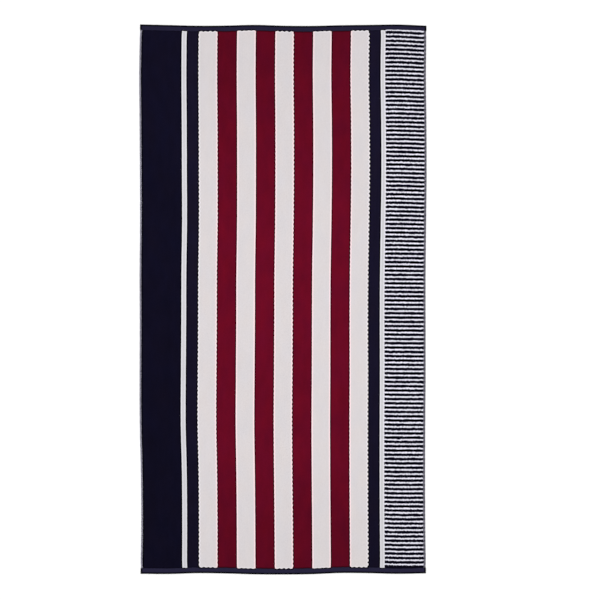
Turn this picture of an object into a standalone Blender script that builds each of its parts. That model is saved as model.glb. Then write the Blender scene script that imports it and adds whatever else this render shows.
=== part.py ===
"""A striped velour beach towel laid flat, as one woven cloth.

The body carries the pile. At each end a plain-woven strip is turned under twice as a hem, and a
narrow plain selvedge runs down each side. All of it is one solid: hems and selvedges are only
lower than the pile. The underside is flat, and every outer edge is a soft fold.

Metres, +X across the cloth, +Y along it, +Z up. The origin is on the underside, at the middle.
"""

import bpy
import numpy as np

# The cloth, measured flat.
WIDTH = 0.860
LENGTH = 1.650

# Heights above the surface that the cloth lies on.
PILE_HEIGHT = 0.0032
HEM_HEIGHT = 0.0024
SELVEDGE_HEIGHT = 0.0020

# Plain strips round the pile, and the runs over which the height changes.
HEM_DEPTH = 0.0162
SELVEDGE_LEFT = 0.0056
SELVEDGE_RIGHT = 0.0045
PILE_SHOULDER = 0.0012
FOLD_RUN = 0.0008

# The draw-in just inside each hem, where the stitched fold holds the cloth wider than the pile.
NECK_DRAW = 0.0015
NECK_RAMP = 0.002
NECK_REACH = 0.030

# How many facets cross the pile and run along it.
PILE_COLUMNS = 22
PILE_ROWS = 36

MM = 0.001

# Sideways drift of the lengthwise lines, in mm towards +X, at even steps from the near end hem
# to the far one. The five columns lie at the shares of the width in DRIFT_LINES.
DRIFT_LINES = (0.0, 0.144, 0.503, 0.800, 1.0)
SIDE_DRIFT = (
    # left  pinstripe  middle  band  right
    (2.0, 1.5, 0.5, -0.5, 0.5),
    (4.0, 2.0, -0.5, -1.5, -1.5),
    (3.0, 1.0, -2.0, -2.0, -2.0),
    (-0.5, -2.5, -3.0, -2.0, -1.5),
    (-1.0, -2.0, -2.0, -1.5, -0.5),
    (-0.5, -1.0, -1.0, -2.0, -0.5),
    (-1.0, -0.5, -0.5, -1.0, -0.5),
    (0.5, 1.5, 1.5, 1.5, 1.0),
    (0.0, 1.0, 2.5, 3.5, 2.5),
    (-1.0, 0.5, 2.5, 3.0, 2.0),
    (-2.0, -0.5, 1.5, 1.0, 0.5),
    (0.5, 0.5, 2.5, 3.0, 2.0),
)

# How far each end hem swells out from its straight line, in mm, at even steps from left to right.
END_WAVES = (
    # near  far
    (0.5, 2.5),
    (1.0, 0.5),
    (-1.5, -1.5),
    (-0.5, -1.0),
    (2.0, 1.0),
    (2.5, -1.5),
    (1.5, -2.0),
    (-2.0, 0.0),
    (-1.5, 1.0),
    (0.5, 2.0),
    (-1.0, -1.5),
)

# The crosswise lines sit a little nearer the far end at mid length.
MID_SHIFT = 0.004
# How fast an end's wave dies out into the cloth: the power of the share left to the other end.
WAVE_FADE = 1.5


def through(values, share):
    """Smooth curve through evenly spaced values, read at share, 0 to 1 along them.

    Between two values it is the cubic that leaves each with the slope of its neighbours' chord.
    """
    values = np.asarray(values, dtype=float)
    padded = np.concatenate(([2 * values[0] - values[1]], values, [2 * values[-1] - values[-2]]))
    place = np.clip(share, 0.0, 1.0) * (len(values) - 1)
    step = np.minimum(place.astype(int), len(values) - 2)
    t = place - step
    a, b, c, d = (padded[step + k] for k in range(4))
    return b + 0.5 * t * (c - a + t * (2 * a - 5 * b + 4 * c - d + t * (3 * (b - c) + d - a)))


def laid(u, v):
    """Where the point u across and v along the flat cloth lies, as x and y.

    x is u plus the drift of the two nearest lengthwise lines, mixed by their distance, and a
    draw-in towards the middle just inside each hem. y is v plus each end's wave, fading to the
    other end, and half a sine of MID_SHIFT.
    """
    across, along = u / WIDTH, v / LENGTH
    lines = np.array([through(column, along) for column in np.transpose(SIDE_DRIFT)])
    drift = np.zeros_like(across)
    for k in range(len(DRIFT_LINES) - 1):
        start, end = DRIFT_LINES[k], DRIFT_LINES[k + 1]
        share = np.clip((across - start) / (end - start), 0.0, 1.0)
        piece = lines[k] + share * (lines[k + 1] - lines[k])
        drift = np.where(across >= start, piece, drift)
    inside = np.minimum(v, LENGTH - v) - HEM_DEPTH
    neck = np.clip(inside / NECK_RAMP, 0, 1) * np.clip(1 - inside / NECK_REACH, 0, 1) ** 2
    near = through([row[0] for row in END_WAVES], across) * (1 - along) ** WAVE_FADE
    far = through([row[1] for row in END_WAVES], across) * along**WAVE_FADE
    x = u - WIDTH / 2 + drift * MM + neck * NECK_DRAW * (1 - 2 * across)
    y = v - LENGTH / 2 + (far - near) * MM + MID_SHIFT * np.sin(np.pi * along)
    return x, y


def stations(size, low_strip, high_strip, parts):
    """Grid lines over one direction: fold, plain strip, shoulder, even parts of pile, and back."""
    pile = np.linspace(low_strip + PILE_SHOULDER, size - high_strip - PILE_SHOULDER, parts + 1)
    start = [0.0, FOLD_RUN, low_strip]
    end = [size - high_strip, size - FOLD_RUN, size]
    return np.concatenate((start, pile, end))


def surface_heights(rows, columns):
    """Height of each grid point: hem across the end rows, selvedge down the sides, pile between."""
    height = np.full((rows, columns), PILE_HEIGHT)
    height[:, :3] = SELVEDGE_HEIGHT
    height[:, -3:] = SELVEDGE_HEIGHT
    height[:3] = HEM_HEIGHT
    height[-3:] = HEM_HEIGHT
    return height


def centred(x, y):
    """Moves the outline so that the middle of its box is at x = 0, y = 0."""
    return x - (x.min() + x.max()) / 2, y - (y.min() + y.max()) / 2


def towel_mesh():
    """Closed mesh: an upper and a lower grid that share one ring at half height, the fold."""
    across = stations(WIDTH, SELVEDGE_LEFT, SELVEDGE_RIGHT, PILE_COLUMNS)
    along = stations(LENGTH, HEM_DEPTH, HEM_DEPTH, PILE_ROWS)
    u, v = np.meshgrid(across, along)
    x, y = centred(*laid(u, v))
    rows, columns = u.shape
    height = surface_heights(rows, columns)
    rim = np.ones((rows, columns), dtype=bool)
    rim[1:-1, 1:-1] = False

    upper = np.stack((x, y, np.where(rim, height / 2, height)), axis=-1).reshape(-1, 3)
    lower = np.stack((x, y, np.zeros_like(x)), axis=-1).reshape(-1, 3)
    inner = ~rim.ravel()
    upper_index = np.arange(rows * columns)
    lower_index = np.where(inner, len(upper) + np.cumsum(inner) - 1, upper_index)
    points = np.concatenate((upper, lower[inner]))

    corner = (np.arange(rows - 1)[:, None] * columns + np.arange(columns - 1)).ravel()
    quad = np.stack((corner, corner + 1, corner + 1 + columns, corner + columns), axis=-1)
    top_faces = upper_index[quad]
    bottom_faces = lower_index[quad][:, ::-1]

    mesh = bpy.data.meshes.new("beach_towel")
    mesh.from_pydata(points.tolist(), [], np.concatenate((top_faces, bottom_faces)).tolist())
    mesh.validate()
    return mesh


def cotton_material():
    """Sheared cotton, in the white of the widest share of its stripes."""
    material = bpy.data.materials.new("white_pile")
    material.use_nodes = True
    shader = material.node_tree.nodes["Principled BSDF"]
    shader.inputs["Base Color"].default_value = (0.72, 0.69, 0.70, 1.0)
    shader.inputs["Roughness"].default_value = 0.95
    shader.inputs["Metallic"].default_value = 0.0
    return material


def build():
    for old in list(bpy.context.scene.objects):
        bpy.data.objects.remove(old)
    mesh = towel_mesh()
    mesh.materials.append(cotton_material())
    towel = bpy.data.objects.new("beach_towel", mesh)
    bpy.context.scene.collection.objects.link(towel)


build()
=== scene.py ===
# %% [markdown]
# # A striped velour beach towel, laid flat
#
# The towel is one length of cotton cloth. The loops of its face were sheared to a dense, matt pile,
# and its back keeps them. The yarns are dyed, so each stripe is a field of pile in one colour, on
# the same woven ground as its neighbours. The ends are hemmed, and a narrow plain strip, the
# selvedge, runs down each side.
#
# Here every stripe is its own low body of pile with soft shoulders, so that light, shadow and
# outline come from shape.

import bpy
import numpy as np
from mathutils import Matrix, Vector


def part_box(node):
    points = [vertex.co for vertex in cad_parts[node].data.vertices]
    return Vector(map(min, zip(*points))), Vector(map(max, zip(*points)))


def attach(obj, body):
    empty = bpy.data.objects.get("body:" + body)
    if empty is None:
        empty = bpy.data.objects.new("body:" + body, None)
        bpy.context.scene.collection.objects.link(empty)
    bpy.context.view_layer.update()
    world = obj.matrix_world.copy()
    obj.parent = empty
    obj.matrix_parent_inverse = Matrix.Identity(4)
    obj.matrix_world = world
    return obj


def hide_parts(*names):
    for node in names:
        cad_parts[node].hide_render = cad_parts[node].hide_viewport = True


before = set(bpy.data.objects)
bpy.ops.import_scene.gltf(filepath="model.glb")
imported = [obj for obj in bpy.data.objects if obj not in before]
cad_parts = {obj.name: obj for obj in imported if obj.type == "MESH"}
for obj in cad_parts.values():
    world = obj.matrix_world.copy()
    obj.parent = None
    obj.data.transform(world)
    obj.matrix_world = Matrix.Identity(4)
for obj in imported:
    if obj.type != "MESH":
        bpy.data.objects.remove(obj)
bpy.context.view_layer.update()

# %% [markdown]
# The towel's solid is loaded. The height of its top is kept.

PILE_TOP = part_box("beach_towel")[1].z

# %% [markdown]
# ## The plan of the cloth
#
# A weaver reads a towel as a plan: so many millimetres of this yarn, then so many of that. Places
# on the flat cloth are called u, across from the left selvedge, and v, along from the near hem.
# Every shape is worked out in u and v, and only then moved to where the cloth lies.
#
# Three white stripes have scalloped edges, with one scallop for each bar of the border.

# %% Sizes and the stripe plan
MM = 0.001
WIDTH, LENGTH = 0.860, 1.650
HEM_DEPTH = 0.0162
SELVEDGE_LEFT, SELVEDGE_RIGHT = 0.0056, 0.0067
GROUND_TOP = 0.5 * PILE_TOP

BAR_PITCH = 0.01287  # one navy and one white bar of the border
FIRST_BAR = 0.0218  # middle of the first navy bar, from the far end
BAR_COUNT = 126
NAVY_SHARE = 0.65  # of each pitch

STRIPE_PLAN = (
    # yarn and width in mm
    ("panel", 120.1), ("pinstripe", 14.4), ("band", 36.3),
    ("white", 55.8), ("red", 58.8), ("white", 55.9), ("red", 58.6), ("white", 55.1),
    ("red", 58.5), ("white", 55.4), ("red", 58.2), ("white", 55.0),
    ("band", 35.7), ("pinstripe", 13.6), ("bars", 116.2),
)
SCALLOPS = {3: (1.9, 1.5), 7: (0.8, 1.8), 11: (0.9, 4.2)}   # stripe: mm on its left and right
YARNS = [row[0] for row in STRIPE_PLAN]
STRIPE_EDGES = SELVEDGE_LEFT + MM * np.concatenate(([0], np.cumsum([row[1] for row in STRIPE_PLAN])))
print("stripes end at", [round(1000 * edge, 1) for edge in STRIPE_EDGES], "mm")

# %% [markdown]
# ## How the cloth lies
#
# Cotton cloth is never quite square. The long lines drift a few millimetres, the hems swell and
# dip, and the pile draws in just inside each hem. Short tables hold those drifts, with a smooth
# curve through their values. The solid follows the same rule, so the outlines agree.

# %% Drift of the long lines and waves of the ends
DRIFT_LINES = (0.0, 0.144, 0.503, 0.800, 1.0)
SIDE_DRIFT = (
    # in mm towards +X, from the near hem to the far one
    (2.0, 4.0, 3.0, -0.5, -1.0, -0.5, -1.0, 0.5, 0.0, -1.0, -2.0, 0.5),       # left side
    (1.5, 2.0, 1.0, -2.5, -2.0, -1.0, -0.5, 1.5, 1.0, 0.5, -0.5, 0.5),        # pinstripe
    (0.5, -0.5, -2.0, -3.0, -2.0, -1.0, -0.5, 1.5, 2.5, 2.5, 1.5, 2.5),       # middle
    (-0.5, -1.5, -2.0, -2.0, -1.5, -2.0, -1.0, 1.5, 3.5, 3.0, 1.0, 3.0),      # band
    (0.5, -1.5, -2.0, -1.5, -0.5, -0.5, -0.5, 1.0, 2.5, 2.0, 0.5, 2.0),       # right side
)
END_WAVES = (
    # in mm outwards, from left to right
    (0.5, 1.0, -1.5, -0.5, 2.0, 2.5, 1.5, -2.0, -1.5, 0.5, -1.0),             # near end
    (2.5, 0.5, -1.5, -1.0, 1.0, -1.5, -2.0, 0.0, 1.0, 2.0, -1.5),             # far end
)
MID_SHIFT = 0.004  # the middle of the length sits this much nearer the far end
WAVE_FADE = 1.5  # how fast an end's wave dies out into the cloth
NECK_DRAW, NECK_RAMP, NECK_REACH = 0.0015, 0.002, 0.030


def through(values, share):
    """Smooth curve through evenly spaced values at share, 0 to 1: between each two the cubic that
    leaves both with the slope of their neighbours' chord."""
    values = np.asarray(values, dtype=float)
    padded = np.concatenate(([2 * values[0] - values[1]], values, [2 * values[-1] - values[-2]]))
    reach = np.clip(share, 0.0, 1.0) * (len(values) - 1)
    step = np.minimum(reach.astype(int), len(values) - 2)
    t = reach - step
    a, b, c, d = (padded[step + k] for k in range(4))
    return b + 0.5 * t * (c - a + t * (2 * a - 5 * b + 4 * c - d + t * (3 * (b - c) + d - a)))


def laid(u, v):
    """x and y of flat-cloth places: u plus the drift of the two nearest long lines and the draw-in
    inside each hem, and v plus each end's wave, which fades to the other end, and half a sine."""
    across, along = u / WIDTH, v / LENGTH
    lines = [through(row, along) for row in SIDE_DRIFT]
    drift = lines[0]
    for k, (start, end) in enumerate(zip(DRIFT_LINES, DRIFT_LINES[1:])):
        share = np.clip((across - start) / (end - start), 0.0, 1.0)
        drift = drift + share * (lines[k + 1] - lines[k])
    inside = np.minimum(v, LENGTH - v) - HEM_DEPTH
    neck = np.clip(inside / NECK_RAMP, 0, 1) * np.clip(1 - inside / NECK_REACH, 0, 1) ** 2
    near, far = (through(row, across) for row in END_WAVES)
    wave = far * np.clip(along, 0, 1) ** WAVE_FADE - near * np.clip(1 - along, 0, 1) ** WAVE_FADE
    x = u - WIDTH / 2 + drift * MM + neck * NECK_DRAW * (1 - 2 * across)
    y = v - LENGTH / 2 + wave * MM + MID_SHIFT * np.sin(np.pi * along)
    return x, y


outline_x, outline_y = laid(*np.meshgrid(np.linspace(0, WIDTH, 173), np.linspace(0, LENGTH, 331)))
MIDDLE_X = (outline_x.min() + outline_x.max()) / 2
MIDDLE_Y = (outline_y.min() + outline_y.max()) / 2


def placed(u, v, z):
    """Points in space for cloth places, with the outline's box centred on the origin."""
    x, y = laid(u, v)
    return np.stack((x - MIDDLE_X, y - MIDDLE_Y, np.broadcast_to(z, x.shape)), axis=-1)


print("outline:", round(float(np.ptp(outline_x)), 4), "x", round(float(np.ptp(outline_y)), 4), "m")

# %% [markdown]
# ## Unevenness
#
# No two spots of a real pile stand equally high. Slow swells come from how the cloth was laid
# down, shorter ones from the hand, and puckers from the sewing. A seeded net of random heights,
# smoothly blended, gives swells of any size, the same ones each time.

# %% Smooth random surfaces
NET_MARGIN = 3  # knots of a net beyond each side of the cloth
PUCKER_REACH = 0.018


def swell(u, v, step_u, step_v, seed):
    """Random surface from -1 to 1: random heights at the knots of a net with the given steps,
    blended between knots by the curve 3t^2 - 2t^3 in each direction."""
    knot_count = tuple(int(size / step) + 2 * NET_MARGIN + 2
                       for size, step in ((WIDTH, step_u), (LENGTH, step_v)))
    knots = np.random.default_rng(seed).uniform(-1, 1, knot_count)
    a, b = u / step_u + NET_MARGIN, v / step_v + NET_MARGIN
    i, j = np.floor(a).astype(int), np.floor(b).astype(int)
    s, t = a - i, b - j
    s, t = s * s * (3 - 2 * s), t * t * (3 - 2 * t)
    low = knots[i, j] * (1 - s) + knots[i + 1, j] * s
    high = knots[i, j + 1] * (1 - s) + knots[i + 1, j + 1] * s
    return low * (1 - t) + high * t


def lie(u, v):
    """Metres by which the face swells or dips: slow and short swells, and puckers that die out with
    the distance from the hems."""
    slow = 0.30 * swell(u, v, 0.085, 0.110, 11) + 0.12 * swell(u, v, 0.030, 0.038, 12)
    inside = np.clip(np.minimum(v, LENGTH - v) - HEM_DEPTH, 0, None)
    pucker = 0.28 * np.exp(-inside / PUCKER_REACH) * swell(u, v, 0.0105, 0.050, 13)
    return (slow + pucker) * MM


print("the middle of the face swells by", round(1000 * float(lie(WIDTH / 2, LENGTH / 2)), 2), "mm")

# %% [markdown]
# ## From grids to closed shells
#
# A stripe of pile is a long low body. Its upper side is a grid: stations along its length, and a
# few places across. The grid's outermost ring is set down at the foot of the pile, and flat
# polygons, like the rungs of a ladder, join its left side to its right. So one grid gives a closed
# shell, whatever its outline.
#
# Each shell has two maps. The one called cloth holds u and v in metres, so patterns are drawn at
# their true size. The other lays the finish out for export, with a long strip cut into lengths
# that lie side by side.

# %% Build shells
CELL_MARGIN = 0.0015  # share of the layout left free round each length


def quads_of(grid):
    """The four corner values of each cell of a grid, in turn round the cell."""
    return np.stack((grid[:-1, :-1], grid[:-1, 1:], grid[1:, 1:], grid[1:, :-1]), axis=-1)


def in_layout(cell, share, count):
    """Places in the layout for shares of a cell, one of count in a row, inside its margin."""
    return (cell[:, None] + CELL_MARGIN * count + (1 - 2 * CELL_MARGIN * count) * share) / count


def ladder_shell(u, v, z, foot, along, across, cells, rim=0.0, blush=0.0):
    """Closed shell over a grid of cloth places with heights z, its outer ring at foot.

    The top is a quad per cell, the underside a quad between each two stations and a polygon at
    each end. cells = (how many lengths, cell of the first, (columns, rows) of the layout).
    """
    z = np.array(z)
    z[[0, -1]] = foot
    z[:, [0, -1]] = foot
    rows, columns = z.shape
    index = np.arange(rows * columns).reshape(rows, columns)
    top = quads_of(index)
    rungs = np.stack((index[1:-2, 0], index[2:-1, 0], index[2:-1, -1], index[1:-2, -1]), axis=-1)
    near_end = np.concatenate(([index[1, 0], index[1, -1]], index[0, ::-1]))
    far_end = np.concatenate(([index[-2, -1], index[-2, 0]], index[-1]))
    under = np.concatenate((rungs.ravel(), near_end, far_end))
    quad_count = top.size // 4

    lengths, first_cell, layout = cells
    cut = np.linspace(0, rows - 1, lengths + 1).round().astype(int)
    length = np.searchsorted(cut, np.arange(rows - 1), side="right") - 1
    start, end = along[cut[length]], along[cut[length + 1]]
    far_share = np.stack((along[:-1] - start, along[1:] - start), axis=-1) / (end - start)[:, None]
    side_share = (across - across[0]) / (across[-1] - across[0])
    cell = first_cell + length
    x = in_layout(cell % layout[0], side_share, layout[0])
    y = in_layout(cell // layout[0], far_share, layout[1])
    bake_x = np.stack((x[:, :-1], x[:, 1:], x[:, 1:], x[:, :-1]), axis=-1)
    bake_y = np.broadcast_to(y[:, None, [0, 0, 1, 1]], bake_x.shape)
    bake = np.stack((bake_x, bake_y), axis=-1)
    spot = bake[rows // 2, columns // 2, 0]

    return {
        "points": placed(u, v, z).reshape(-1, 3),
        "cloth": np.stack((u, v), axis=-1).reshape(-1, 2),
        "rim": np.broadcast_to(rim, z.shape).ravel(),
        "blush": np.broadcast_to(blush, z.shape).ravel(),
        "corners": np.concatenate((top.ravel(), under)),
        "sizes": np.array([4] * (quad_count + len(rungs)) + [len(near_end), len(far_end)]),
        "smooth": np.arange(quad_count + len(rungs) + 2) < quad_count,
        "bake": np.concatenate((bake.reshape(-1, 2), np.tile(spot, (len(under), 1)))),
    }


def put(name, data):
    """A new object with this data, linked to the scene."""
    made = bpy.data.objects.new(name, data)
    bpy.context.scene.collection.objects.link(made)
    return made


def make_piece(name, shells):
    """Joins shells into one mesh object at the origin, with its maps. A mark that is a single value
    or missing counts for the whole shell."""
    def marked(key, like):
        return np.concatenate([np.broadcast_to(shell.get(key, 0.0), len(shell[like])) for shell in shells])

    points, cloth, sizes, bake = (np.concatenate([shell[key] for shell in shells])
                                  for key in ("points", "cloth", "sizes", "bake"))
    firsts = np.cumsum([0] + [len(shell["points"]) for shell in shells])
    corners = np.concatenate([shell["corners"] + first for shell, first in zip(shells, firsts)])

    mesh = bpy.data.meshes.new(name)
    mesh.vertices.add(len(points))
    mesh.vertices.foreach_set("co", points.astype(np.float32).ravel())
    mesh.loops.add(len(corners))
    mesh.loops.foreach_set("vertex_index", corners.astype(np.int32))
    mesh.polygons.add(len(sizes))
    mesh.polygons.foreach_set("loop_start", (np.cumsum(sizes) - sizes).astype(np.int32))
    mesh.update(calc_edges=True)
    mesh.polygons.foreach_set("use_smooth", marked("smooth", "sizes"))
    for label, places_in_map in (("cloth", cloth[corners]), ("OFBake", bake)):
        layer = mesh.uv_layers.new(name=label)
        layer.uv.foreach_set("vector", places_in_map.astype(np.float32).ravel())
    for mark in ("rim", "blush"):
        values = marked(mark, "points").astype(np.float32)
        mesh.attributes.new(mark, "FLOAT", "POINT").data.foreach_set("value", values)
    mesh.validate()

    print(f"{name}: {len(shells)} shells, {int((sizes - 2).sum())} triangles")
    return put(name, mesh)

# %% [markdown]
# ## The shoulder of the pile
#
# Where two colours meet, nothing holds the tufts up from the far side, so each stripe rounds off.
# Neighbours overlap a little under that round, so that their slopes cross in a shallow groove and
# no gap opens. A table holds each round, in mm: how far in from the edge, and how far down.
#
# Just inside an edge, light and shade are painted into the pile's colour: a painted highlight on
# white pile, painted shade on dark pile. That strip, the rim, is marked for the finish to read.

# %% Rounds and the places across a strip
SIDE_ROUND = ((-0.30, 0.75), (0.12, 0.24), (0.60, 0.07), (2.50, 0.0), (4.70, 0.0))
HEM_ROUND = ((0.80, 1.15), (1.45, 0.50), (2.10, 0.18), (3.40, 0.0))
BAR_ROUND = ((-0.25, 0.75), (0.15, 0.24), (0.95, 0.0))
FOOT = GROUND_TOP - 0.15 * MM
FOOT_OUT = 0.05  # mm by which the foot stands outside the round
# The rim is the strip along an edge where light and shade are painted into the pile's colour.
RIM_FULL, RIM_REACH = 0.0025, 0.0047  # the rim is full to here, and gone there


def round_of(table):
    """Insets and drops of a round, in metres, with the foot outside it first."""
    return MM * np.array([(table[0][0] - FOOT_OUT, 0.0), *table]).T


def places(width, step, table):
    """Offset, share and drop of each place across a strip, from foot to foot. A place lies at the
    low edge + offset + share * width."""
    inset, drop = round_of(table)
    count = max(int(round((width - 2 * inset[-1]) / step)), 1)
    share = np.arange(1, count) / count
    offset = np.concatenate((inset, inset[-1] * (1 - 2 * share), -inset[::-1]))
    share = np.concatenate((np.zeros(len(inset)), share, np.ones(len(inset))))
    return offset, share, np.concatenate((drop, np.zeros(count - 1), drop[::-1]))


def rim_share(distance):
    """1 from an edge of the colour to RIM_FULL inside it, then falling to 0 at RIM_REACH."""
    return np.clip((RIM_REACH - distance) / (RIM_REACH - RIM_FULL), 0, 1)


print("round at the sides:", SIDE_ROUND)

# %% [markdown]
# ## The long stripes of pile
#
# The stations come five to each bar of the border, counted from the first bar, so that every
# scallop is drawn alike. A scallop is the absolute value of a sine: round on the white side, with
# a sharp notch beside the middle of each navy bar. All edges also wander a little, as yarns do.
#
# At the hems the pile is ragged, and the white stripes end in a few broad teeth.

# %% Edges of the long stripes
STATIONS_PER_BAR = 5
NOTCH_SHARPNESS = 1.2
SCALLOP_MEAN = 0.60  # average of the scallop's curve, so that stripes keep their width
END_FADE = 0.012  # how far into the pile its ragged end is felt


def scallop(v):
    """Curve from 0 at each notch to 1 on the round, less its mean: a power of an absolute sine."""
    turns = (LENGTH - v - FIRST_BAR) / BAR_PITCH
    return np.abs(np.sin(np.pi * turns)) ** NOTCH_SHARPNESS - SCALLOP_MEAN


def stripe_edge(number, v):
    """u of the edge between stripes number - 1 and number of the plan, at each v."""
    left_scallops = SCALLOPS.get(number - 1, (0.0, 0.0))[1]
    right_scallops = SCALLOPS.get(number, (0.0, 0.0))[0]
    own_row = np.full_like(v, 0.05 * number)
    wander = 0.16 * swell(np.mod(v, WIDTH), own_row + 0.7 * (v > WIDTH), 0.0045, 0.05, 21)
    return STRIPE_EDGES[number] + MM * (wander + (left_scallops - right_scallops) * scallop(v))


def pile_stations():
    """v of the stations: the round at each hem, and even steps in time with the bars between."""
    rise, drop = round_of(HEM_ROUND)
    step = BAR_PITCH / STATIONS_PER_BAR
    low, high = HEM_DEPTH + rise[-1], LENGTH - HEM_DEPTH - rise[-1]
    first = np.ceil((LENGTH - FIRST_BAR - high) / step + 0.4)
    last = np.floor((LENGTH - FIRST_BAR - low) / step - 0.4)
    even = LENGTH - FIRST_BAR - step * np.arange(last, first - 1, -1)
    v = np.concatenate((HEM_DEPTH + rise, even, LENGTH - HEM_DEPTH - rise[::-1]))
    return v, np.concatenate((drop, np.zeros(len(even)), drop[::-1]))


def end_share(v):
    """1 at the near end of the pile, -1 at the far end, and 0 from END_FADE inside either."""
    near = np.clip(1 - (v - HEM_DEPTH) / END_FADE, 0, 1)
    far = np.clip(1 - (LENGTH - HEM_DEPTH - v) / END_FADE, 0, 1)
    return near - far


def ragged(u, v):
    """How far the ends of the pile wander along v, near each hem only."""
    row = np.where(v < LENGTH / 2, 0.0, 0.5)
    tooth = 0.60 * swell(u, row, 0.0036, 0.01, 31) + 0.40 * swell(u, row, 0.009, 0.01, 32)
    return MM * end_share(v) * tooth


STATION_V, STATION_DROP = pile_stations()
print("stations along a stripe:", len(STATION_V))

# %% [markdown]
# A stripe's upper side is the height of the laid pile, less the rounds, plus each tuft's own
# small difference. Scalloped stripes also show a very faint net of crossing slants, one to each
# bar. White tufts beside red ones take up a little of their colour, and a second mark, the blush,
# tells the finish where.

# %% Pile of the long stripes
COLUMN_STEP = 0.0032
TUFT_SPREAD = 0.055  # mm, standard deviation of a tuft's height
LATTICE_DEPTH, LATTICE_WIDTH = 0.080, 0.013  # mm, metres
TEETH_ACROSS = 4  # at each end of a white stripe
TOOTH_DEPTH, PLAIN_SHARE = 0.0030, 0.4  # the share is for white stripes without scallops
TOOTH_MIDDLE = 0.80
# Painted shade at the ends of navy pile, weaker than at its sides.
NAVY_END_PAINTED_SHADE = 0.3  # strength of a navy stripe's rim at the hems, next to that at its sides


def lattice(u, v):
    """Sum of two waves that slant to either side, one turn for each bar in both directions."""
    a, b = u / LATTICE_WIDTH, (LENGTH - v - FIRST_BAR) / BAR_PITCH
    return np.cos(2 * np.pi * (a + b)) + np.cos(2 * np.pi * (a - b))


def stripe_shell(number, cells):
    """Shell of one stripe of the plan, between its two edges and from hem to hem."""
    yarn, width = YARNS[number], STRIPE_PLAN[number][1] * MM
    offset, share, side_drop = places(width, COLUMN_STEP, SIDE_ROUND)
    low, high = (stripe_edge(number + side, STATION_V)[:, None] for side in (0, 1))
    u = low + offset + share * (high - low)
    v = np.broadcast_to(STATION_V[:, None], u.shape)
    turns = TEETH_ACROSS * np.clip((u - low) / width, 0, 1)
    teeth = TOOTH_MIDDLE - np.abs(np.sin(np.pi * turns)) ** NOTCH_SHARPNESS
    depth = (yarn == "white") * TOOTH_DEPTH * (1.0 if number in SCALLOPS else PLAIN_SHARE)
    v = v + ragged(u, v) + end_share(v) * depth * teeth

    tufts = np.random.default_rng(100 + number).normal(0, TUFT_SPREAD, u.shape)
    net = LATTICE_DEPTH * lattice(u, v) if number in SCALLOPS else 0.0
    z = PILE_TOP + lie(u, v) + MM * (tufts + net) - side_drop - STATION_DROP[:, None]

    # Mark for light painted along the sides and ends: highlight on white pile, shade on red and navy.
    by_low, by_high = rim_share(u - low), rim_share(high - u)
    by_end = rim_share(np.minimum(STATION_V, LENGTH - STATION_V)[:, None] - HEM_DEPTH)
    end_painted_light = NAVY_END_PAINTED_SHADE if yarn in ("panel", "band") else 1.0
    rim = np.maximum(np.maximum(by_low, by_high), end_painted_light * by_end)
    red_low, red_high = (YARNS[near] == "red" for near in (number - 1, number + 1))
    blush = np.maximum(red_low * by_low, red_high * by_high)
    return ladder_shell(u, v, z, FOOT, STATION_V, offset + share * width, cells, rim, blush)


def stripes_of(yarn, name, lengths):
    """One piece with every stripe of the plan in this yarn."""
    numbers = [k for k, found in enumerate(YARNS) if found == yarn]
    layout = (lengths * len(numbers), 1)
    return make_piece(name, [stripe_shell(number, (lengths, lengths * k, layout))
                             for k, number in enumerate(numbers)])


navy_panel = stripes_of("panel", "pile_navy_panel", 4)
navy_bands = stripes_of("band", "pile_navy_bands", 5)
pinstripes = stripes_of("pinstripe", "pile_pinstripes", 7)
white_stripes = stripes_of("white", "pile_white_stripes", 3)
red_stripes = stripes_of("red", "pile_red_stripes", 3)

# %% [markdown]
# ## The barred border
#
# Down the right runs a border of fine navy bars on white, each a short ridge of pile. Pile can't
# make a sharp crosswise line, because a row of loops leans one way here and the other way there.
# So the edges of the bars wave and are bumpy, and no two are alike. Both neighbours of an edge
# read the same curve, so they always meet. A table says how the bars drift.

# %% Bars of the border
BAR_COLUMN_STEP = 0.00168
BAR_BUMPS = ((0.10, 0.0080, 41), (0.80, 0.0030, 42))   # mm, step in metres, seed
BAR_WAVE, BAR_WAVE_LENGTH = 0.75, 0.0083  # mm, metres
WAVE_DRIFT, WAVE_DRIFT_STEP = 2.0, 0.022  # turns, metres
BAR_ROW = 0.005  # each edge reads a row of its own in the random nets
BAR_SHIFT = (
    # in mm towards the far hem, from the near hem to the far one
    (2.8, 2.0, 0.7, 0.1, -1.7, -2.9, -1.6),            # left side of the border
    (0.6, 0.7, -0.4, -0.1, -2.8, -3.3, -3.1),          # right side
)


def bar_edges():
    """v of the bar edges, from the far hem to the near one, with two for each navy bar."""
    middle = LENGTH - FIRST_BAR - BAR_PITCH * np.arange(BAR_COUNT)
    half = 0.5 * NAVY_SHARE * BAR_PITCH
    edges = np.stack((middle + half, middle - half), axis=-1).ravel()
    edges[-1] = HEM_DEPTH
    return np.concatenate(([LENGTH - HEM_DEPTH], edges))


BAR_EDGES = bar_edges()
BORDER = YARNS.index("bars")
offset, share, end_drop = places(STRIPE_PLAN[BORDER][1] * MM, BAR_COLUMN_STEP, SIDE_ROUND)
BAR_U = STRIPE_EDGES[BORDER] + offset + share * STRIPE_PLAN[BORDER][1] * MM


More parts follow.
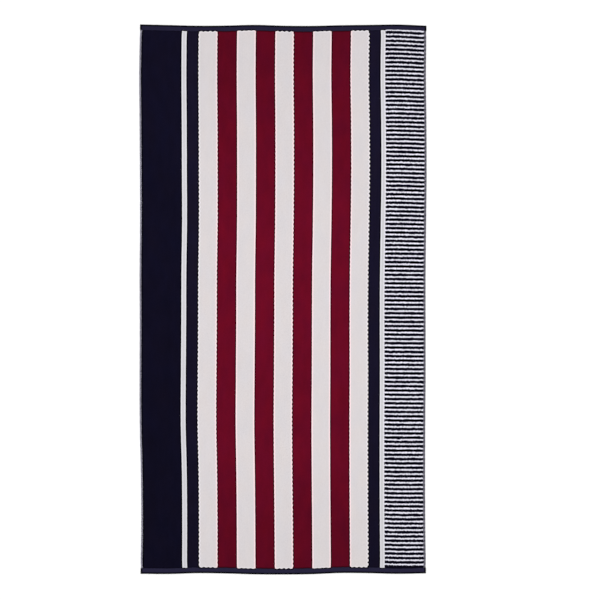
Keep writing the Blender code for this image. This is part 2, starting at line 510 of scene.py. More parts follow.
def bar_edge(number):
    """v of one bar edge at each station across the border: straight at the hems, bumpy between."""
    v = np.full_like(BAR_U, BAR_EDGES[number])
    if 0 < number < len(BAR_EDGES) - 1:
        left, right = (through(row, BAR_EDGES[number] / LENGTH) for row in BAR_SHIFT)
        across = (BAR_U - BAR_U[0]) / np.ptp(BAR_U)
        v = v + MM * (left + across * (right - left))
        own_row = np.full_like(BAR_U, BAR_ROW * number)
        for size, step, seed in BAR_BUMPS:
            v = v + size * MM * swell(BAR_U, own_row, step, BAR_ROW, seed)
        drift = WAVE_DRIFT * swell(BAR_U, own_row, WAVE_DRIFT_STEP, BAR_ROW, 43)
        v = v + BAR_WAVE * MM * np.sin(2 * np.pi * (BAR_U / BAR_WAVE_LENGTH + drift))
    return v


def bar_shell(number, cells):
    """Shell of the bar between edge number and the next one. Its stations run across the border."""
    high, low = bar_edge(number)[:, None], bar_edge(number + 1)[:, None]
    width = BAR_EDGES[number] - BAR_EDGES[number + 1]
    inset, part, side_drop = places(width, width, BAR_ROUND)
    v = high - inset - part * (high - low)
    left = stripe_edge(BORDER, v) - STRIPE_EDGES[BORDER]
    u = BAR_U[:, None] + left * (1 - share[:, None])
    v = v + ragged(u, v)

    tufts = np.random.default_rng(300 + number).normal(0, TUFT_SPREAD, u.shape)
    z = PILE_TOP + lie(u, v) + MM * tufts - side_drop - end_drop[:, None]
    # Mark for shade painted along each bar's edges; only the navy bars' finish darkens it.
    rim = rim_share(np.minimum(high - v, v - low))
    return ladder_shell(u, v, z, FOOT, BAR_U, inset + part * width, cells, rim)


def bars_of(first, name, columns=3):
    """One piece with every second bar, beginning with the one after edge first."""
    layout = (columns, -(-BAR_COUNT // columns))
    return make_piece(name, [bar_shell(2 * k + first, (1, k, layout)) for k in range(BAR_COUNT)])


white_bars = bars_of(0, "pile_white_bars")
navy_bars = bars_of(1, "pile_navy_bars")

# %% [markdown]
# ## The selvedges
#
# At each side the pile stops and the weft turns back round the last warp threads. That makes a
# narrow strip, flat and a little lower than the pile. Its section is a short table, from the foot
# at the outer side to a foot hidden under the pile, carried along the cloth.

# %% Strips carried along the cloth
SELVEDGE_SECTION = (
    # in from the edge, height, both in mm
    (0.45, 0.00), (0.10, 0.35), (0.00, 0.95), (0.18, 1.50), (0.75, 1.88), (1.70, 1.98),
    (2.90, 1.92), (4.10, 1.95), (5.60, 1.90), (6.60, 1.70), (6.65, 0.00),
)
SELVEDGE_CELLS = 12  # lengths of each side in the layout
WAVER, PICK_SPREAD = 0.22, 0.03  # mm: of the edge, and of a weft thread's height


def run_along(section):
    """Distance along a section from its first point, at each of its points."""
    return np.concatenate(([0], np.cumsum(np.hypot(*np.diff(section, axis=0).T))))


def selvedge_shell(side, seed, first_cell):
    """Shell of one selvedge, whose edge wavers slightly."""
    section = MM * np.array(SELVEDGE_SECTION)
    if side == "right":
        section[:, 0] *= SELVEDGE_RIGHT / SELVEDGE_LEFT
    inset, height = section.T
    v = np.broadcast_to(STATION_V[:, None], (len(STATION_V), len(inset)))
    at_edge = np.clip(1 - inset / inset[-3], 0, 1)
    u = inset + at_edge * WAVER * MM * swell(np.mod(v, WIDTH), v // WIDTH, 0.0034, 1.0, seed)
    picks = np.random.default_rng(seed).normal(0, PICK_SPREAD * MM, v.shape)
    z = height * (1 + lie(u, v) / PILE_TOP) + picks
    run = run_along(section)
    if side == "right":
        u, z, run = (WIDTH - u)[:, ::-1], z[:, ::-1], run[-1] - run[::-1]
    cells = (SELVEDGE_CELLS, first_cell, (2 * SELVEDGE_CELLS, 1))
    return ladder_shell(u, v, z, 0.0, STATION_V, run, cells)


selvedges = make_piece("selvedges", [selvedge_shell("left", 51, 0),
                                     selvedge_shell("right", 52, SELVEDGE_CELLS)])

# %% [markdown]
# ## The hems
#
# Each end is woven plain, turned under twice and sewn: three layers of flat cloth, thicker than
# the selvedge, that swell softly between the fold and the row of stitches. The section runs from
# the foot of the outer fold, over the flat, down into the groove that the stitches pull, and up
# again to a foot under the pile. The stations come two to a stitch, so every needle hole can pull
# its own dimple. The fold, the hem's ends, and the cloth beside the white pile's teeth are marked
# for painted shade.

# %% Hems carried across the cloth
STITCH = 0.0032  # length of one stitch
STITCH_IN = 0.0135  # stitch row, from the fold
GROOVE, HOLE_DEPTH = 0.9, 0.10  # mm: half the groove's width, and the dimple at a hole
HEM_SECTION = (
    # in from the fold, height, both in mm
    (0.60, 0.00), (0.12, 0.38), (0.00, 1.05), (0.18, 1.72), (0.75, 2.22), (1.80, 2.42),
    (3.60, 2.46), (6.00, 2.52), (8.60, 2.52), (10.9, 2.44), (12.3, 2.30), (13.0, 2.06),
    (13.5, 1.92), (14.0, 2.06), (14.8, 2.24), (15.8, 2.24), (16.6, 1.95), (17.3, 1.70),
    (20.2, 1.66), (20.3, 0.00),
)
FOLD_POINTS = 5  # of the section, which stay level
FLAT_FROM, FLAT_RISE = 1.6, 0.6  # mm of height over which the puckers grow
END_SECTION = ((0.50, 0.0), (0.10, 0.24), (0.00, 0.52), (0.20, 0.82), (0.80, 0.97), (1.60, 1.0))
END_WIDTH = 2.4  # mm from a side to the first even station
FOLD_SHADE = 0.0014  # how much further in the fold's rim reaches than the pile's
TEETH_SHADE = 0.0015  # how far inside the pile's end its shade begins
HEM_SEED = {"near": 61, "far": 62}
HEM_CELLS = 10  # lengths of each hem in the layout


def hem_stations():
    """u of the stations, two to a stitch, with a rounded end at each side, their share of the full
    height, and the even ones alone."""
    inset, rise = np.transpose(END_SECTION)
    count = int((WIDTH - 2 * END_WIDTH * MM) / (STITCH / 2))
    even = WIDTH / 2 + STITCH / 2 * (np.arange(count + 1) - count / 2)
    u = np.concatenate((inset * MM, even, WIDTH - inset[::-1] * MM))
    return u, np.concatenate((rise, np.ones(len(even)), rise[::-1])), even


HEM_U, HEM_SHARE, HEM_EVEN = hem_stations()


def hem_face(u, inset, end):
    """Height of the hem's flat: the section's, plus puckers, less a dimple at each needle hole."""
    section = MM * np.array(HEM_SECTION)[1:-1]
    height = np.interp(inset, section[:, 0], section[:, 1])
    seed = HEM_SEED[end]
    flat = np.clip((height - FLAT_FROM * MM) / (FLAT_RISE * MM), 0, 1)
    pucker = 0.13 * swell(u, inset, 0.0075, 0.012, seed) + 0.05 * swell(u, inset, 0.0030, 0.006, seed + 5)
    hole = np.cos(2 * np.pi * (u - HEM_EVEN[0]) / STITCH)
    groove = np.exp(-((inset - STITCH_IN) / (GROOVE * MM)) ** 2)
    return height + MM * (flat * pucker - HOLE_DEPTH * hole * groove)


def hem_shell(end, first_cell):
    """Shell of one hem, with its stations across the towel."""
    section = MM * np.array(HEM_SECTION)
    inset = np.broadcast_to(section[:, 0], (len(HEM_U), len(section)))
    u = np.broadcast_to(HEM_U[:, None], inset.shape)
    fold = np.arange(len(section)) < FOLD_POINTS
    z = np.where(fold, section[:, 1], hem_face(u, inset, end)) * HEM_SHARE[:, None]
    v, run = LENGTH - inset, run_along(section)
    if end == "near":
        v, z, run = inset[:, ::-1], z[:, ::-1], run[-1] - run[::-1]
    to_fold = np.minimum(v, LENGTH - v)
    white = np.isin(YARNS + ["selvedge"], ("white", "pinstripe"))
    beside_white = white[np.clip(np.searchsorted(STRIPE_EDGES, u) - 1, 0, len(white) - 1)]
    # Painted shade on the hem: beside the white pile's teeth, and along the fold and the hem's ends.
    at_pile = beside_white * rim_share(HEM_DEPTH + TEETH_SHADE - to_fold)
    at_fold = rim_share(np.minimum(to_fold, np.minimum(u, WIDTH - u)) - FOLD_SHADE)
    cells = (HEM_CELLS, first_cell, (2, HEM_CELLS))
    return ladder_shell(u, v, z, 0.0, HEM_U, run, cells, np.maximum(at_pile, at_fold))


hems = make_piece("end_hems", [hem_shell("near", 0), hem_shell("far", HEM_CELLS)])

# %% [markdown]
# ## The hem stitches
#
# A lock stitch shows as a row of short threads, each going down into a needle hole at both ends.
# One stitch is a thin tube whose middle line is half a sine above the cloth. All of them are
# worked out as one array of stitches x rings x sides, and share one layout cell.

# %% Rows of stitches
THREAD_RADIUS = 0.23 * MM
THREAD_ARCH, THREAD_SINK, THREAD_SLANT = 0.34, 0.16, 0.10  # mm
RINGS, SIDES = 7, 6


def stitch_row(end):
    """Shells of one row as a single array: centre line, rings round it, and a polygon at each end."""
    start = HEM_EVEN[1:-2:2]
    t = np.linspace(0, 1, RINGS)
    u = start[:, None] + STITCH * (0.04 + 0.92 * t)
    inset = np.full_like(u, STITCH_IN) + THREAD_SLANT * MM * (1 - 2 * t)
    v = inset if end == "near" else LENGTH - inset
    z = hem_face(u, inset, end) + MM * (THREAD_ARCH * np.sin(np.pi * t) - THREAD_SINK)
    radius = THREAD_RADIUS * np.sin(np.pi * (0.12 + 0.76 * t)) ** 0.5
    angle = 2 * np.pi * np.arange(SIDES) / SIDES
    ring = np.stack((0 * angle, np.cos(angle), np.sin(angle)), axis=-1)
    points = placed(u, v, z)[:, :, None, :] + radius[:, None, None] * ring

    index = np.arange(RINGS * SIDES).reshape(RINGS, SIDES)
    quads = quads_of(np.hstack((index, index[:, :1]))).reshape(-1, 4)
    one = np.concatenate((quads.ravel(), index[0, ::-1], index[-1]))
    along, around = np.meshgrid(t, np.arange(SIDES + 1) / SIDES, indexing="ij")
    bake = np.stack((quads_of(along), quads_of(around)), axis=-1).reshape(-1, 2)
    bake = np.concatenate((bake, np.full((2 * SIDES, 2), 0.5))) * 0.98 + 0.01
    thread = np.stack((along, around), axis=-1)[:, :-1].reshape(-1, 2)
    return {
        "points": points.reshape(-1, 3),
        "cloth": np.tile(thread, (len(start), 1)),
        "corners": (one + RINGS * SIDES * np.arange(len(start))[:, None]).ravel(),
        "sizes": np.tile([4] * len(quads) + [SIDES, SIDES], len(start)),
        "smooth": True,
        "bake": np.tile(bake, (len(start), 1)),
    }


stitches = make_piece("hem_stitches", [stitch_row("near"), stitch_row("far")])

# %% [markdown]
# ## The ground and the back
#
# Under the pile lies the woven ground, which holds every tuft, and below it the loops of the back,
# in the same stripes. The upper side never shows, so it is coarse. The sheet is closed by letting
# its upper and lower grids share their outermost ring.

# %% Ground sheet with the looped back
GROUND_COLUMNS, GROUND_STATIONS = 101, 181
GROUND_TUCK = 0.8 * MM  # how far the sheet runs under the hems and selvedges
RING_HEIGHT, BACK_LIFT, LOOP_HEIGHT = 0.8 * MM, 0.12 * MM, 0.12 * MM


def ground_shell():
    """Upper and lower grid with a common ring. The back is lifted and roughened by its loops."""
    left, right = SELVEDGE_LEFT - GROUND_TUCK, WIDTH - SELVEDGE_RIGHT + GROUND_TUCK
    near, far = HEM_DEPTH - GROUND_TUCK, LENGTH - HEM_DEPTH + GROUND_TUCK
    u, v = np.meshgrid(np.linspace(left, right, GROUND_COLUMNS), np.linspace(near, far, GROUND_STATIONS))
    ring = np.ones(u.shape, dtype=bool)
    ring[1:-1, 1:-1] = False
    inner = ~ring.ravel()
    loops = np.random.default_rng(71).uniform(0, LOOP_HEIGHT, u.shape)
    upper = placed(u, v, np.where(ring, RING_HEIGHT, GROUND_TOP)).reshape(-1, 3)
    lower = placed(u, v, BACK_LIFT + loops).reshape(-1, 3)
    upper_index = np.arange(u.size)
    lower_index = np.where(inner, u.size + np.cumsum(inner) - 1, upper_index)
    quad = quads_of(upper_index.reshape(u.shape)).reshape(-1, 4)
    cloth = np.stack((u, v), axis=-1).reshape(-1, 2)
    share = (cloth - cloth.min(0)) / np.ptp(cloth, axis=0)
    bake_back = share[quad][:, ::-1].reshape(-1, 2) * (0.78, 0.98) + (0.01, 0.01)
    bake_top = share[quad].reshape(-1, 2) * (0.18, 0.98) + (0.81, 0.01)
    return {
        "points": np.concatenate((upper, lower[inner])),
        "cloth": np.concatenate((cloth, cloth[inner])),
        "corners": np.concatenate((upper_index[quad], lower_index[quad][:, ::-1])).ravel(),
        "sizes": np.full(2 * len(quad), 4),
        "smooth": True,
        "bake": np.concatenate((bake_top, bake_back)),
    }


ground = make_piece("ground_cloth", [ground_shell()])

# %% [markdown]
# ## Finishes: helpers
#
# Each finish is a small graph of shader nodes. These helpers keep the graphs readable, and one of
# them makes an empty node group, for an effect that several finishes share.

# %% Node helpers
def add_node(tree, kind, settings=None, **inputs):
    """A shader node with settings, and inputs given as values or sockets. An underscore in an
    input's name stands for a space, and _0 for the first input."""
    made = tree.nodes.new("ShaderNode" + kind)
    for name, value in (settings or {}).items():
        setattr(made, name, value)
    for name, value in inputs.items():
        socket = made.inputs[int(name[1:]) if name[1:].isdigit() else name.replace("_", " ")]
        if isinstance(value, bpy.types.NodeSocket):
            tree.links.new(value, socket)
        else:
            socket.default_value = value
    return made


def maths(tree, operation, a, b=0.0, c=0.0, clamp=False):
    """Result socket of one Math node."""
    settings = {"operation": operation, "use_clamp": clamp}
    return add_node(tree, "Math", settings, _0=a, _1=b, _2=c).outputs[0]


def scaled(tree, value, factor, plus=None, clamp=False):
    """Result socket of value * factor, and plus something where it is given."""
    if plus is None:
        return maths(tree, "MULTIPLY", value, factor)
    return maths(tree, "MULTIPLY_ADD", value, factor, plus, clamp)


def new_group(name, inputs, outputs):
    """An empty group. Its inputs and outputs are named with Color, Vector, or a number's default."""
    group = bpy.data.node_groups.new(name, "ShaderNodeTree")
    for way, entries in (("INPUT", inputs), ("OUTPUT", outputs)):
        for label, value in entries.items():
            kind = value if isinstance(value, str) else "Float"
            socket = group.interface.new_socket(label, in_out=way, socket_type="NodeSocket" + kind)
            if kind == "Float":
                socket.default_value = value
    return group, group.nodes.new("NodeGroupInput").outputs, group.nodes.new("NodeGroupOutput").inputs


def place_of(tree, cloth):
    """Sockets X and Y with the u and v of a cloth place."""
    return add_node(tree, "SeparateXYZ", None, Vector=cloth).outputs


def stretched(tree, vector, size_u, size_v):
    """A cloth place divided by a size each way, so that a pattern comes out that big."""
    mapping = add_node(tree, "Mapping", None, Vector=vector)
    mapping.inputs["Scale"].default_value = (1 / size_u, 1 / size_v, 1.0)
    return mapping.outputs[0]


def grain(tree, vector, size_u, size_v, detail=1.0):
    """Noise from 0 to 1 whose grains are about this big on the cloth, in metres."""
    noise = add_node(tree, "TexNoise", {"noise_dimensions": "2D"},
                     Vector=stretched(tree, vector, size_u, size_v), Scale=1.0, Detail=detail)
    return noise.outputs["Fac"]


def tinted(tree, colour, factor):
    """The colour times a number."""
    return add_node(tree, "VectorMath", {"operation": "SCALE"}, _0=colour, Scale=factor).outputs[0]

# %% [markdown]
# ## Finish: sheared cotton pile
#
# Velour is a crowd of cut yarn ends. Near by, each tuft is a small dome with fine fibres on it. A
# step back, the pile shows soft patches where it lay pressed, faint lengthwise lines where a warp
# thread stands prouder, and slow changes over a hand's width. The group adds these up to one
# number round 1, which scales the yarn's colour, and gives the height for the bump.
#
# Along the edge of a colour, white pile gets a painted highlight and dark pile painted shade.

# %% The velour_nap group
def build_velour_nap():
    """Yarn colour, roughness and height of sheared pile at a cloth place. The colour carries painted
    shade between the tufts, and painted light along the marked edges.
    """
    inputs = {"Cloth": "Vector", "Yarn": "Color", "Rim": 0.0, "Rim Light": "Vector", "Blush": 0.0,
              "Blush Cast": "Vector", "Patches": 0.05, "Streaks": 0.03, "Slow": 0.06,
              "Clumps": 0.05, "Tufts": 0.15, "Cast": 0.02}
    outputs = {"Color": "Color", "Roughness": 0.0, "Height": 0.0}
    group, given, result = new_group("velour_nap", inputs, outputs)
    cloth = given["Cloth"]
    tuft = add_node(group, "TexVoronoi", {"voronoi_dimensions": "2D"},
                    Vector=stretched(group, cloth, 0.0017, 0.0015), Scale=1.0)
    dome = maths(group, "SUBTRACT", 1.0, maths(group, "POWER", tuft.outputs["Distance"], 2.0))
    fibre = grain(group, cloth, 0.00035, 0.00035, detail=3.0)
    patch = grain(group, cloth, 0.024, 0.060, detail=2.0)
    streak = grain(group, cloth, 0.0018, 0.150)
    slow = grain(group, cloth, 0.150, 0.230)
    clump = grain(group, cloth, 0.0058, 0.0052)
    warmth = grain(group, cloth, 0.045, 0.080, detail=2.0)

    # The tuft domes darken the colour between them: painted shade in the hollows of the pile.
    total = 1.0
    for name, value, middle in (("Patches", patch, 0.5), ("Streaks", streak, 0.5), ("Slow", slow, 0.5),
                                ("Clumps", clump, 0.5), ("Tufts", dome, 0.82), ("Tufts", fibre, 0.5)):
        part = scaled(group, maths(group, "SUBTRACT", value, middle), given[name])
        total = maths(group, "ADD", part, total)
    cast = scaled(group, maths(group, "SUBTRACT", warmth, 0.5), given["Cast"])
    colour = tinted(group, given["Yarn"], total)
    # Rim Light at the Rim mark paints light into the colour: a highlight where above 0, shade where below.
    for tone, strength in (((1.0, 0.1, -1.0), cast), (given["Rim Light"], given["Rim"]),
                           (given["Blush Cast"], given["Blush"])):
        shift = add_node(group, "VectorMath", {"operation": "ADD"},
                         _0=tinted(group, tone, strength), _1=(1.0, 1.0, 1.0))
        colour = add_node(group, "VectorMath", {"operation": "MULTIPLY"},
                          _0=colour, _1=shift.outputs[0]).outputs[0]
    group.links.new(colour, result["Color"])
    group.links.new(scaled(group, fibre, 0.12, 0.86), result["Roughness"])
    group.links.new(scaled(group, fibre, 0.45, dome), result["Height"])
    return group


VELOUR_NAP = build_velour_nap()
print("velour_nap:", len(VELOUR_NAP.nodes), "nodes")

# %% [markdown]
# ## Finish: plain weave
#
# Hems and selvedges are woven one over, one under. Two sine waves, one for each set of threads,
# tell which is on top and how high it stands. Each set has its own colour, so navy on navy gives
# the hem, and navy with some white the grey of the selvedge.

# %% The plain_weave group
WARP_SPACING, WEFT_SPACING = 0.00046, 0.00052


def build_plain_weave():
    """Colour and height of plain weave at a cloth place."""
    inputs = {"Cloth": "Vector", "Warp": "Color", "Weft": "Color", "Warp Cover": 0.5, "Shade": 1.0}
    outputs = {"Color": "Color", "Height": 0.0}
    group, given, result = new_group("plain_weave", inputs, outputs)
    turns = place_of(group, stretched(group, given["Cloth"], WARP_SPACING / np.pi, WEFT_SPACING / np.pi))
    cross = scaled(group, maths(group, "SINE", turns["X"]), maths(group, "SINE", turns["Y"]))
    level = scaled(group, given["Warp Cover"], -2.0, 1.0)
    on_top = scaled(group, maths(group, "SUBTRACT", cross, level), 6.0, 0.5, clamp=True)
    yarn = add_node(group, "Mix", {"data_type": "RGBA"}, _0=on_top,
                    _6=given["Weft"], _7=given["Warp"]).outputs[2]
    slub = grain(group, given["Cloth"], 0.0025, 0.0007, detail=2.0)
    cast = grain(group, given["Cloth"], 0.030, 0.030, detail=2.0)
    shade = scaled(group, maths(group, "SUBTRACT", slub, 0.5), 0.25, given["Shade"])
    shade = scaled(group, maths(group, "SUBTRACT", cast, 0.5), 0.20, shade)
    group.links.new(tinted(group, yarn, shade), result["Color"])
    height = scaled(group, slub, 0.3, maths(group, "ABSOLUTE", cross))
    group.links.new(height, result["Height"])
    return group


PLAIN_WEAVE = build_plain_weave()
print("plain_weave:", len(PLAIN_WEAVE.nodes), "nodes")

# %% [markdown]
# ## Materials
#
# Cotton pile scatters light nearly evenly, so roughness is high and the specular level very low,
# which also keeps navy truly dark. A little sheen stands for the loose fibre ends that light up
# when the cloth is seen edge on. Those numbers sit on the shader's own sockets.

# %% Pile materials
BLUSH_CAST = (0.18, -0.05, -0.05)    # white beside red takes a little of its colour


def new_shader(name, **values):
    """A new material and its Principled shader, with these inputs set."""
    material = bpy.data.materials.new(name)
    material.use_nodes = True
    shader = material.node_tree.nodes["Principled BSDF"]
    for socket, value in values.items():
        shader.inputs[socket.replace("_", " ")].default_value = value
    return material, shader


def cloth_material(name, sheen, specular, **values):
    """A new material of matt cotton, its tree, its shader and its cloth map."""
    material, shader = new_shader(name, Metallic=0.0, Specular_IOR_Level=specular,
                                  Sheen_Weight=sheen, Sheen_Roughness=0.45, **values)
    tree = material.node_tree
    cloth = add_node(tree, "UVMap", {"uv_map": "cloth"}).outputs["UV"]
    return material, tree, shader, cloth


def mark_of(tree, name):
    """Socket with one of the marks that the mesh carries."""
    return add_node(tree, "Attribute", {"attribute_name": name}).outputs["Fac"]


def dress(tree, shader, group, depth, strength):
    """Joins a finish group's outputs to the shader, its height as a bump of this depth in metres."""
    for output, socket in (("Color", "Base Color"), ("Roughness", "Roughness")):
        if output in group.outputs:
            tree.links.new(group.outputs[output], shader.inputs[socket])
    bumped(tree, shader, group.outputs["Height"], depth, strength)


def bumped(tree, shader, height, depth, strength):
    """Bump of this depth in metres on the shader's normal."""
    bump = add_node(tree, "Bump", None, Height=height, Distance=depth, Strength=strength)
    tree.links.new(bump.outputs["Normal"], shader.inputs["Normal"])


def along_towel(tree, cloth, near, middle, far):
    """Number along the towel: near at the near hem, middle half way, far at the far hem."""
    share = scaled(tree, place_of(tree, cloth)["Y"], 2 / LENGTH, -1.0)
    bend = scaled(tree, scaled(tree, share, share), 0.5 * (near + far) - middle)
    tilt = scaled(tree, share, 0.5 * (far - near), middle)
    return maths(tree, "ADD", bend, tilt)


def pile_material(name, yarn, rim_light, sheen, specular, run=(1.0, 1.0, 1.0), **strengths):
    """Sheared pile in one yarn. The third argument paints a highlight on the marked edges where it is
    above 0, and shade where below. run gives its strength at the near end, the middle and far end.
    """
    material, tree, shader, cloth = cloth_material(name, sheen, specular)
    nap = add_node(tree, "Group", {"node_tree": VELOUR_NAP}, Cloth=cloth,
                   Yarn=tinted(tree, yarn, along_towel(tree, cloth, *run)),
                   Rim=mark_of(tree, "rim"), Rim_Light=tuple(np.broadcast_to(rim_light, 3)),
                   Blush=mark_of(tree, "blush"), Blush_Cast=BLUSH_CAST, **strengths)
    dress(tree, shader, nap, 0.00035, 0.45)
    return material


WHITE_YARN = (0.642, 0.602, 0.613)
BLEACHED_YARN = (0.572, 0.564, 0.592)
BORDER_WHITE = (0.775, 0.760, 0.870)
RED_YARN = (0.125, 0.0024, 0.0145)
NAVY_YARN = (0.0046, 0.0038, 0.0130)
BAND_YARN = (0.0078, 0.0060, 0.0180)

# Third argument: light painted at marked edges; highlight on white, none on border white, shade on red and
# navy.
white_pile = pile_material("white_pile", WHITE_YARN, (0.26, 0.27, 0.30), 0.06, 0.10,
                           run=(0.97, 1.015, 0.965), Patches=0.05, Slow=0.03, Clumps=0.06, Cast=0.05)
bleached_pile = pile_material("bleached_pile", BLEACHED_YARN, (0.26, 0.26, 0.28), 0.06, 0.10,
                              run=(0.95, 1.0, 0.99))
border_white = pile_material("border_white_pile", BORDER_WHITE, 0.0, 0.06, 0.10, run=(0.93, 1.0, 0.93))
red_pile = pile_material("red_pile", RED_YARN, -0.75, 0.02, 0.03, run=(0.70, 1.0, 0.73),
                         Patches=0.28, Slow=0.22, Streaks=0.08, Clumps=0.12, Cast=0.30)
navy_nap = {"Patches": 0.35, "Streaks": 0.15, "Clumps": 0.20, "Cast": -0.25}
navy_pile = pile_material("navy_pile", NAVY_YARN, -0.90, 0.01, 0.02, run=(0.85, 1.0, 1.05),
                          Slow=0.20, **navy_nap)
border_navy = pile_material("border_navy_pile", NAVY_YARN, -0.50, 0.01, 0.02, Clumps=0.20)
band_pile = pile_material("navy_band_pile", BAND_YARN, -0.98, 0.01, 0.02, run=(0.75, 1.0, 1.05),
                          Slow=0.15, **navy_nap)
print("pile materials made")

# %% [markdown]
# Flat threads give back more light than cut ends do, so the hem's navy is greyer than the
# pile's. Shade is painted into it along its outer fold and ends, and beside the white teeth. The
# selvedge is grey from navy threads with some white between them. On the border's side it is
# darker, and lightest beside each white bar.

# %% Woven and sewn materials
HEM_YARN = (0.0150, 0.0132, 0.0335)
HEM_WEFT = [1.15 * part for part in HEM_YARN]
SELVEDGE_WARP, SELVEDGE_WEFT = (0.66, 0.64, 0.74), (0.024, 0.022, 0.050)
THREAD_YARN = (0.020, 0.018, 0.042)
# Painted shade: how much the hem darkens at its marked fold, ends and white teeth.
FOLD_PAINTED_SHADE = -0.95
BORDER_SIDE_TONE, BORDER_SIDE_WAVE = -0.40, -0.22


def woven_material(name, warp, weft, cover, shade):
    """Plain weave in two yarns. shade is a function from the tree and cloth map to a socket."""
    material, tree, shader, cloth = cloth_material(name, 0.005, 0.02, Roughness=0.85)
    weave = add_node(tree, "Group", {"node_tree": PLAIN_WEAVE}, Cloth=cloth, Warp=(*warp, 1.0),
                     Weft=(*weft, 1.0), Warp_Cover=cover, Shade=shade(tree, cloth))
    dress(tree, shader, weave, 0.00018, 0.5)
    return material


def fold_shade(tree, cloth):
    """Painted shade along the marked fold, ends and white teeth of a hem, and the far hem a little
    deeper than the near one.
    """
    by_end = along_towel(tree, cloth, 1.14, 1.08, 1.02)
    return scaled(tree, scaled(tree, mark_of(tree, "rim"), FOLD_PAINTED_SHADE, 1.0), by_end)


def bar_wave(tree, v):
    """Cosine in time with the bars of the border: 1 in the middle of each navy one."""
    turns = scaled(tree, v, -1 / BAR_PITCH, (LENGTH - FIRST_BAR) / BAR_PITCH)
    return maths(tree, "COSINE", scaled(tree, turns, 2 * np.pi))


def selvedge_shade(tree, cloth):
    """On the border's side, a wave in time with the bars, lightest beside the white ones."""
    place = place_of(tree, cloth)
    right = maths(tree, "GREATER_THAN", place["X"], WIDTH / 2)
    tone = scaled(tree, bar_wave(tree, place["Y"]), BORDER_SIDE_WAVE, BORDER_SIDE_TONE)
    return scaled(tree, tone, right, 1.0)


def thread_material():
    """Twisted sewing thread: slanting light and dark turns along each stitch."""
    material, tree, shader, cloth = cloth_material("navy_thread", 0.02, 0.25, Roughness=0.6)
    place = place_of(tree, cloth)
    turns = scaled(tree, place["X"], 6.0, place["Y"])
    wave = maths(tree, "SINE", scaled(tree, turns, 2 * np.pi))
    tone = scaled(tree, wave, 0.25, 1.0)
    tree.links.new(tinted(tree, THREAD_YARN, tone), shader.inputs["Base Color"])
    bumped(tree, shader, wave, 0.00006, 0.5)
    return material


navy_hem = woven_material("navy_hem", HEM_YARN, HEM_WEFT, 0.5, fold_shade)
grey_selvedge = woven_material("grey_selvedge", SELVEDGE_WARP, SELVEDGE_WEFT, 0.37, selvedge_shade)
navy_thread = thread_material()
print("woven and sewn materials made")

# %% [markdown]
# The back repeats the plan in loops. A colour ramp with hard steps, read at the share of the
# width, lays out the yarns, and the same wave as above switches the bars on.

# %% Looped back
YARN_COLOURS = {"panel": NAVY_YARN, "band": BAND_YARN, "pinstripe": WHITE_YARN, "white": WHITE_YARN,
                "red": RED_YARN, "bars": WHITE_YARN}


def back_material():
    """Terry loops in the stripes of the plan, for the towel's back and its hidden ground."""
    material, tree, shader, cloth = cloth_material("looped_back", 0.03, 0.05)
    place = place_of(tree, cloth)
    ramp = add_node(tree, "ValToRGB", None, _0=maths(tree, "DIVIDE", place["X"], WIDTH))
    ramp.color_ramp.interpolation = "CONSTANT"
    stops = ramp.color_ramp.elements
    stops.remove(stops[1])
    stops[0].position = 0.0
    for number, (yarn, edge) in enumerate(zip(YARNS, STRIPE_EDGES)):
        stop = stops.new(edge / WIDTH) if number else stops[0]
        stop.color = (*YARN_COLOURS[yarn], 1.0)
    bar = maths(tree, "GREATER_THAN", bar_wave(tree, place["Y"]), float(np.cos(np.pi * NAVY_SHARE)))
    border_side = maths(tree, "GREATER_THAN", place["X"], float(STRIPE_EDGES[BORDER]))
    striped = add_node(tree, "Mix", {"data_type": "RGBA"},
                       _0=scaled(tree, bar, border_side), _6=ramp.outputs[0],
                       _7=(*NAVY_YARN, 1.0)).outputs[2]
    # Its tufts paint shade between the loops into the colour.
    nap = add_node(tree, "Group", {"node_tree": VELOUR_NAP}, Cloth=cloth, Yarn=striped, Tufts=0.35)
    dress(tree, shader, nap, 0.0008, 0.7)
    return material


looped_back = back_material()
print("back made")

# %% [markdown]
#
# Each piece gets its finish and rides on the towel's one body, and the towel's solid is hidden.
# The ground is the sheet of cloth, and the rest is pile, edges and sewing on it.

# %% Dress and ride
WEAR = (
    # piece, material, the record's slot
    (ground, looped_back, "white_pile"),
    (white_stripes, white_pile, "white_pile"),
    (pinstripes, bleached_pile, "white_pile"),
    (white_bars, border_white, "white_pile"),
    (red_stripes, red_pile, "red_pile"),
    (navy_panel, navy_pile, "navy_pile"),
    (navy_bands, band_pile, "navy_pile"),
    (navy_bars, border_navy, "navy_pile"),
    (hems, navy_hem, "navy_hem"),
    (selvedges, grey_selvedge, "grey_selvedge"),
    (stitches, navy_thread, "navy_thread"),
)
for piece, material, slot in WEAR:
    piece.data.materials.append(material)
    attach(piece, "root")
    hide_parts("beach_towel")
print(len(WEAR), "pieces dressed")

# %% [markdown]
# ## The camera
#
# The towel is seen from straight above, from 5 m, so that nothing leans. The lens makes the view
# 1.806 m wide where the towel lies.

# %% Camera straight above
CAMERA_HEIGHT = 5.0
VIEW_WIDTH = 1.8057
SENSOR = 36.0
camera_data = bpy.data.cameras.new("camera")
camera_data.sensor_width = SENSOR
camera_data.lens = SENSOR * CAMERA_HEIGHT / VIEW_WIDTH
camera = put("camera", camera_data)
camera.location = (0.0514, -0.0017, CAMERA_HEIGHT)
bpy.context.scene.camera = camera
print("lens:", round(camera_data.lens, 1), "mm")

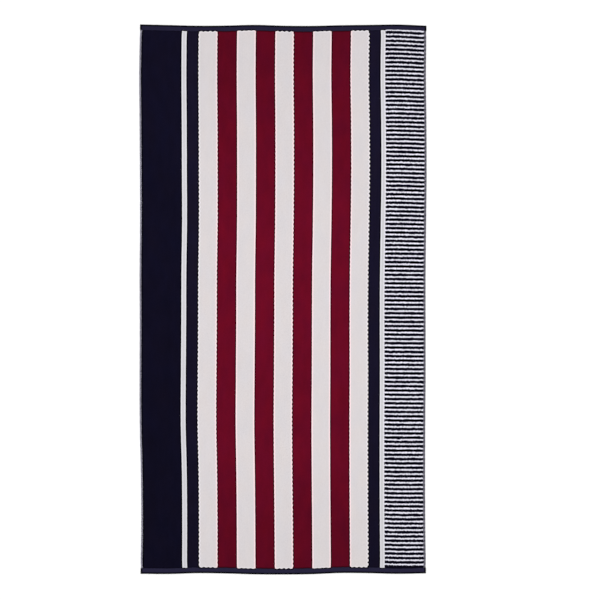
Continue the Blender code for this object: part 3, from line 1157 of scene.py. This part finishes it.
# %% [markdown]
# ## Floor and light
#
# A white floor under broad, soft light: an even white sky does most of the work, a wide panel
# lifts the middle slightly, and a weak sun gives the pile its small shadows. The sky is plain
# white to the camera, so that low views end in white too.

# %% Studio
FLOOR_HALF, FLOOR_DROP = 30.0, 0.0003
FLOOR_WHITE = (0.98, 0.98, 0.98, 1.0)
SKY_STRENGTH, SUN_STRENGTH = 0.80, 0.28
PANEL_SIZE, PANEL_HEIGHT, PANEL_POWER = 1.3, 2.3, 6.0


def build_floor():
    """One large quad just under the towel."""
    corners = [(x * FLOOR_HALF, y * FLOOR_HALF, -FLOOR_DROP) for x, y in ((-1, -1), (1, -1), (1, 1), (-1, 1))]
    mesh = bpy.data.meshes.new("floor")
    mesh.from_pydata(corners, [], [(0, 1, 2, 3)])
    mesh.materials.append(new_shader("studio_floor", Base_Color=FLOOR_WHITE, Roughness=1.0,
                                     Specular_IOR_Level=0.0)[0])
    floor = put("floor", mesh)


def build_sky():
    """Even white light, and plain white where the camera sees it."""
    world = bpy.data.worlds.new("studio_sky")
    world.use_nodes = True
    tree = world.node_tree
    seen = add_node(tree, "LightPath").outputs["Is Camera Ray"]
    strength = scaled(tree, seen, 1.0 - SKY_STRENGTH, SKY_STRENGTH)
    sky = tree.nodes["Background"]
    sky.inputs["Color"].default_value = (1.0, 1.0, 1.0, 1.0)
    tree.links.new(strength, sky.inputs["Strength"])
    bpy.context.scene.world = world


def build_lamps():
    """A soft sun from the far left, and a wide panel over the middle."""
    sun_data = bpy.data.lights.new("soft_sun", "SUN")
    sun_data.energy = SUN_STRENGTH * np.pi
    sun_data.angle = np.radians(20)
    sun = put("soft_sun", sun_data)
    sun.rotation_euler = (np.radians(-30), np.radians(-22), 0.0)
    panel_data = bpy.data.lights.new("soft_panel", "AREA")
    panel_data.shape = "DISK"
    panel_data.size = PANEL_SIZE
    panel_data.energy = PANEL_POWER
    panel = put("soft_panel", panel_data)
    panel.location = (0.0, 0.0, PANEL_HEIGHT)
    panel.visible_camera = False


build_floor()
build_sky()
build_lamps()
bpy.context.scene.view_settings.view_transform = "Standard"
print("studio ready")
